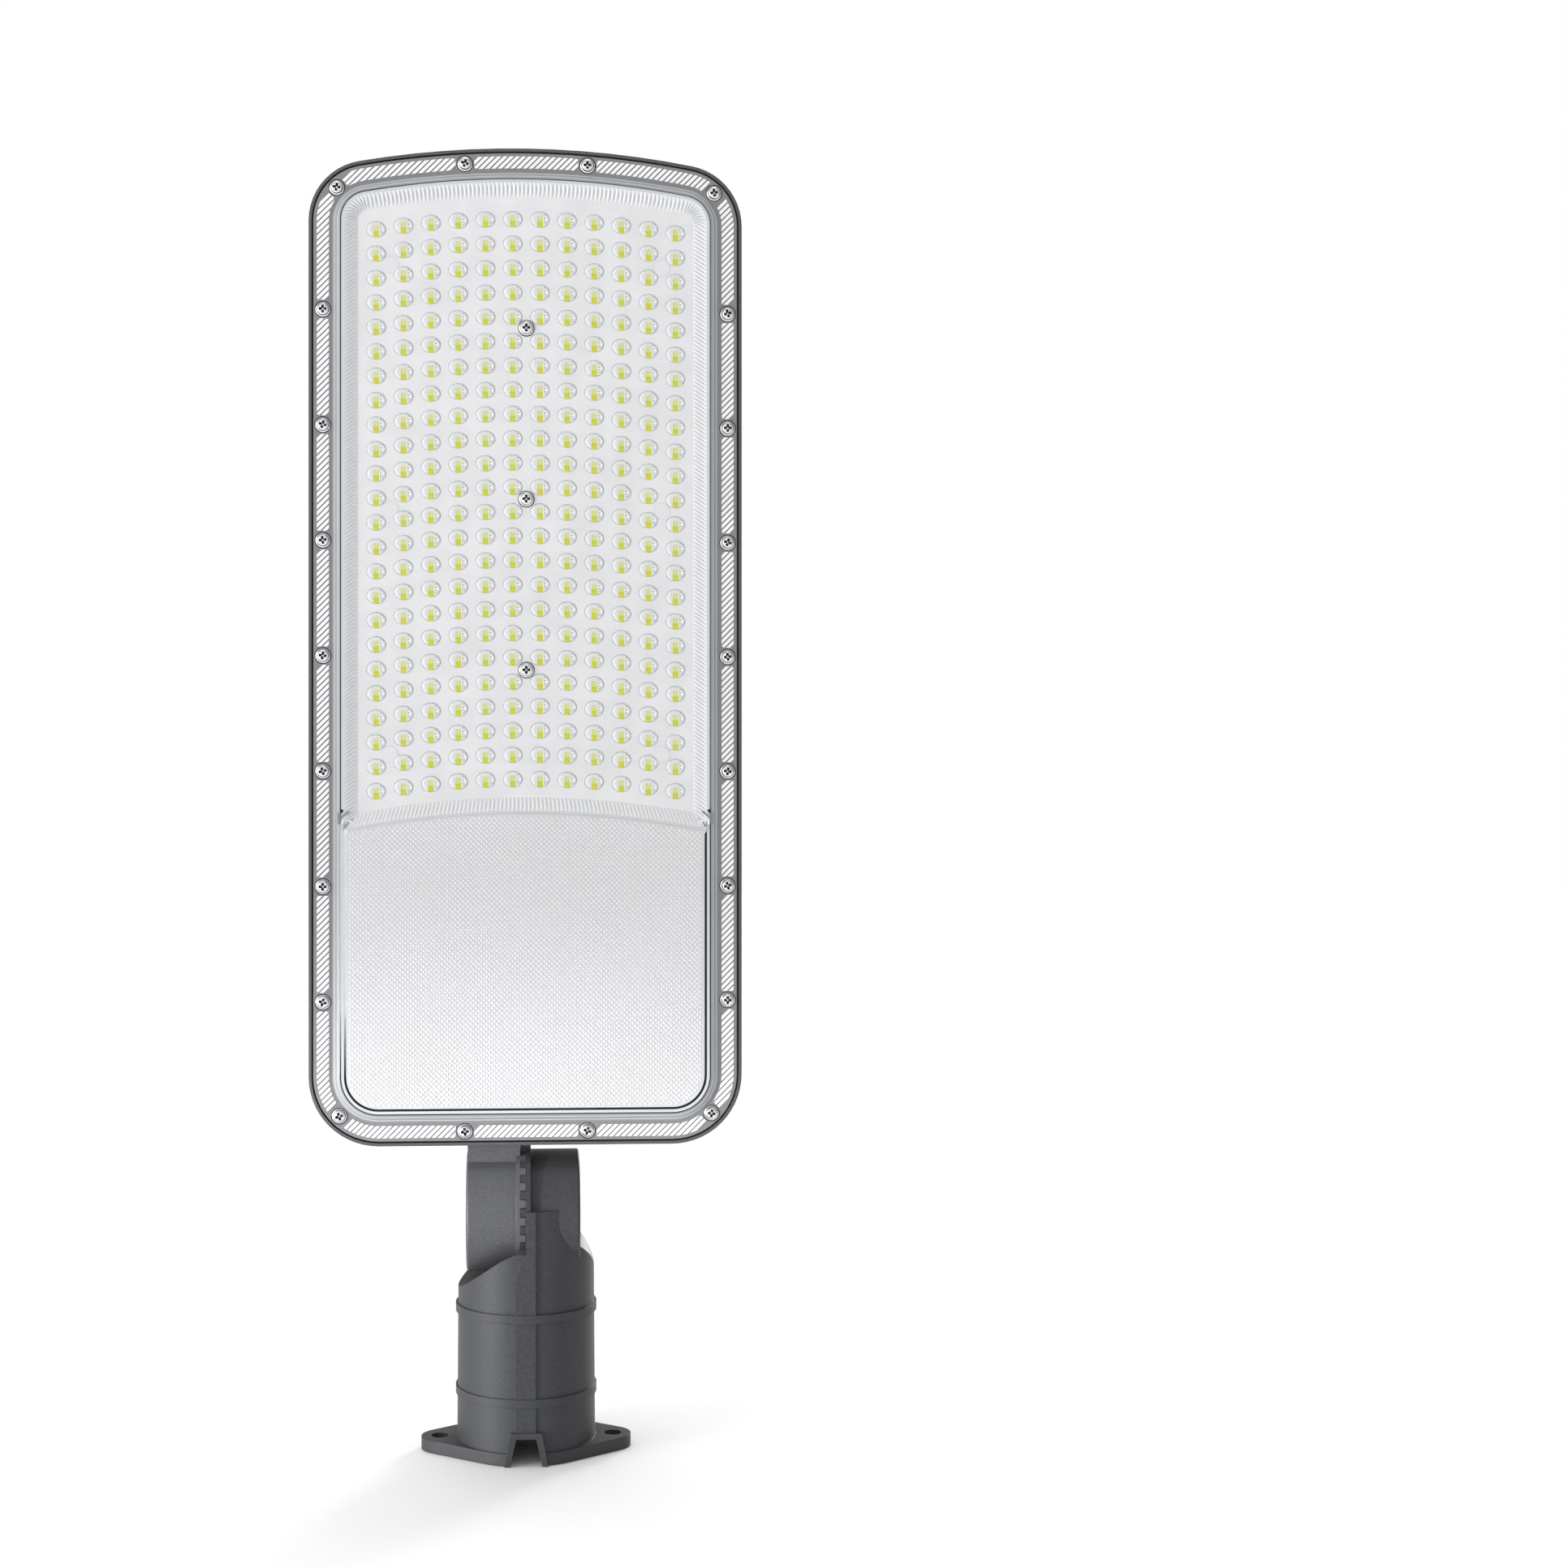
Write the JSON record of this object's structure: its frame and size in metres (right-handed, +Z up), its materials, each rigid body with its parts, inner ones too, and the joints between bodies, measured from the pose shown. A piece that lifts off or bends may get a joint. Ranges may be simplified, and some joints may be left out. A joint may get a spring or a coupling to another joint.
{
  "type": "solar street lamp",
  "caption": "Flat LED street lamp head with a finned cast housing, framed lens cover and battery bay, on a toothed tilting knuckle and pole socket.",
  "frame": {"origin": "centre of the pole socket's mouth, at the underside of the flange", "axes": "+Z up along the pole, -Y towards the lit side, +X to the right seen from the lit side"},
  "size_m": [0.22, 0.0845, 0.6653],
  "materials": {
    "housing_cast": "die cast, dark grey fine-grain powder coat",
    "adaptor_cast": "die cast, dark grey fine-grain powder coat",
    "lens_plastic": "pale polycarbonate, flat field over the LEDs and a frosted lower window",
    "gasket_rubber": "silicone, matt",
    "stainless_steel": "stainless, bright",
    "zinc_steel": "zinc plated",
    "thermal_pad": "soft silicone, matt",
    "led_board": "aluminium core, white solder mask",
    "led_phosphor": "yellow phosphor",
    "plate_aluminium": "mill finish",
    "cell_can": "can in shrink film",
    "tray_plastic": "moulded, matt",
    "nickel_strip": "nickel plated",
    "circuit_board": "glass-fibre board, green solder mask",
    "circuit_parts": "mixed, dark",
    "terminal_plastic": "moulded, satin"
  },
  "bodies": {
    "adaptor": {"pole_adaptor": "adaptor_cast", "pivot_nut": "stainless_steel"},
    "pivot": {"pivot_bolt": "stainless_steel", "pivot_washer": "stainless_steel", "spring_washer": "stainless_steel"},
    "head": {"head_housing": "housing_cast", "lens_cover": "lens_plastic", "cover_gasket": "gasket_rubber", "cover_screws": "stainless_steel", "lens_screws": "stainless_steel", "thermal_pad": "thermal_pad", "led_board": "led_board", "led_chips": "led_phosphor", "bay_plate": "plate_aluminium", "bay_plate_screws": "zinc_steel", "battery_cells": "cell_can", "battery_tray": "tray_plastic", "cell_links": "nickel_strip", "controller_board": "circuit_board", "controller_screws": "zinc_steel", "controller_parts": "circuit_parts", "terminal_block": "terminal_plastic", "cable_grommet": "gasket_rubber"},
    "clamp_lower": {"clamp_screw_lower": "stainless_steel"},
    "clamp_upper": {"clamp_screw_upper": "stainless_steel"}
  },
  "joints": [
    {"name": "knuckle_release", "type": "slide", "parent": "adaptor", "child": "pivot", "axis": [-1, 0, 0], "range_m": [0, 0.0035]},
    {"name": "head_tilt", "type": "hinge", "parent": "pivot", "child": "head", "pos_m": [0, 0, 0.122], "axis": [1, 0, 0], "range_deg": [-90, 90]},
    {"name": "clamp_lower_turn_in", "type": "slide", "parent": "adaptor", "child": "clamp_lower", "axis": [0, 1, 0], "range_m": [-0.0038, 0.006]},
    {"name": "clamp_upper_turn_in", "type": "slide", "parent": "adaptor", "child": "clamp_upper", "axis": [0, 1, 0], "range_m": [-0.0038, 0.006]}
  ]
}
